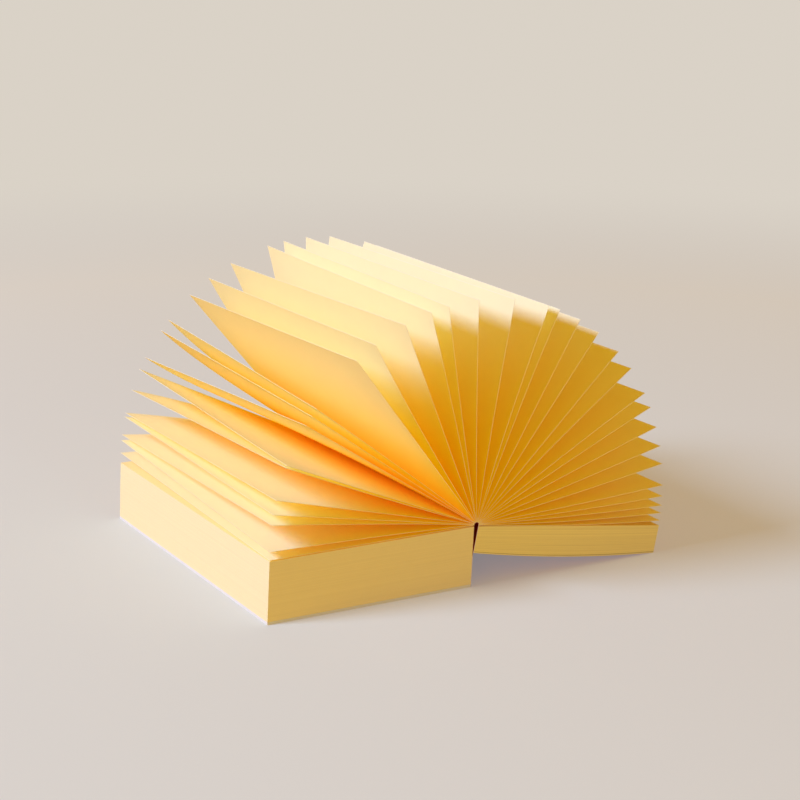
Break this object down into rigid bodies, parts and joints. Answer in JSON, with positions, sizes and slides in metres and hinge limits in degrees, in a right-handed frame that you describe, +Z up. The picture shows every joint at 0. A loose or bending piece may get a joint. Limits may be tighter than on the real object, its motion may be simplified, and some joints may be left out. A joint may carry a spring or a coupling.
{
  "type": "notepad",
  "caption": "Thick glue-bound notepad of pale yellow sheets lying fanned open, its loose leaves radiating from a tightly bent spine between two closed parts.",
  "frame": {"origin": "on the table, at the middle of the space that the open pad takes up", "axes": "+X across the sheets from the part on the backing board to the part that leans over, +Y along the spine, +Z up"},
  "size_m": [0.2038, 0.16, 0.1298],
  "materials": {
    "paper": "matte",
    "board": "matte",
    "glue": "satin"
  },
  "bodies": {
    "root": {"backing_board": "board", "left_stack": "paper", "right_stack": "paper", "spine_glue": "glue", "leaf_01": "paper", "leaf_02": "paper", "leaf_03": "paper", "leaf_04": "paper", "leaf_05": "paper", "leaf_06": "paper", "leaf_07": "paper", "leaf_08": "paper", "leaf_09": "paper", "leaf_10": "paper", "leaf_11": "paper", "leaf_12": "paper", "leaf_13": "paper", "leaf_14": "paper", "leaf_15": "paper", "leaf_16": "paper", "leaf_17": "paper", "leaf_18": "paper", "leaf_19": "paper", "leaf_20": "paper", "leaf_21": "paper", "leaf_22": "paper", "leaf_23": "paper", "leaf_24": "paper", "leaf_25": "paper", "leaf_26": "paper", "leaf_27": "paper", "leaf_28": "paper", "leaf_29": "paper", "leaf_30": "paper", "leaf_31": "paper", "leaf_32": "paper", "leaf_33": "paper"}
  },
  "joints": []
}
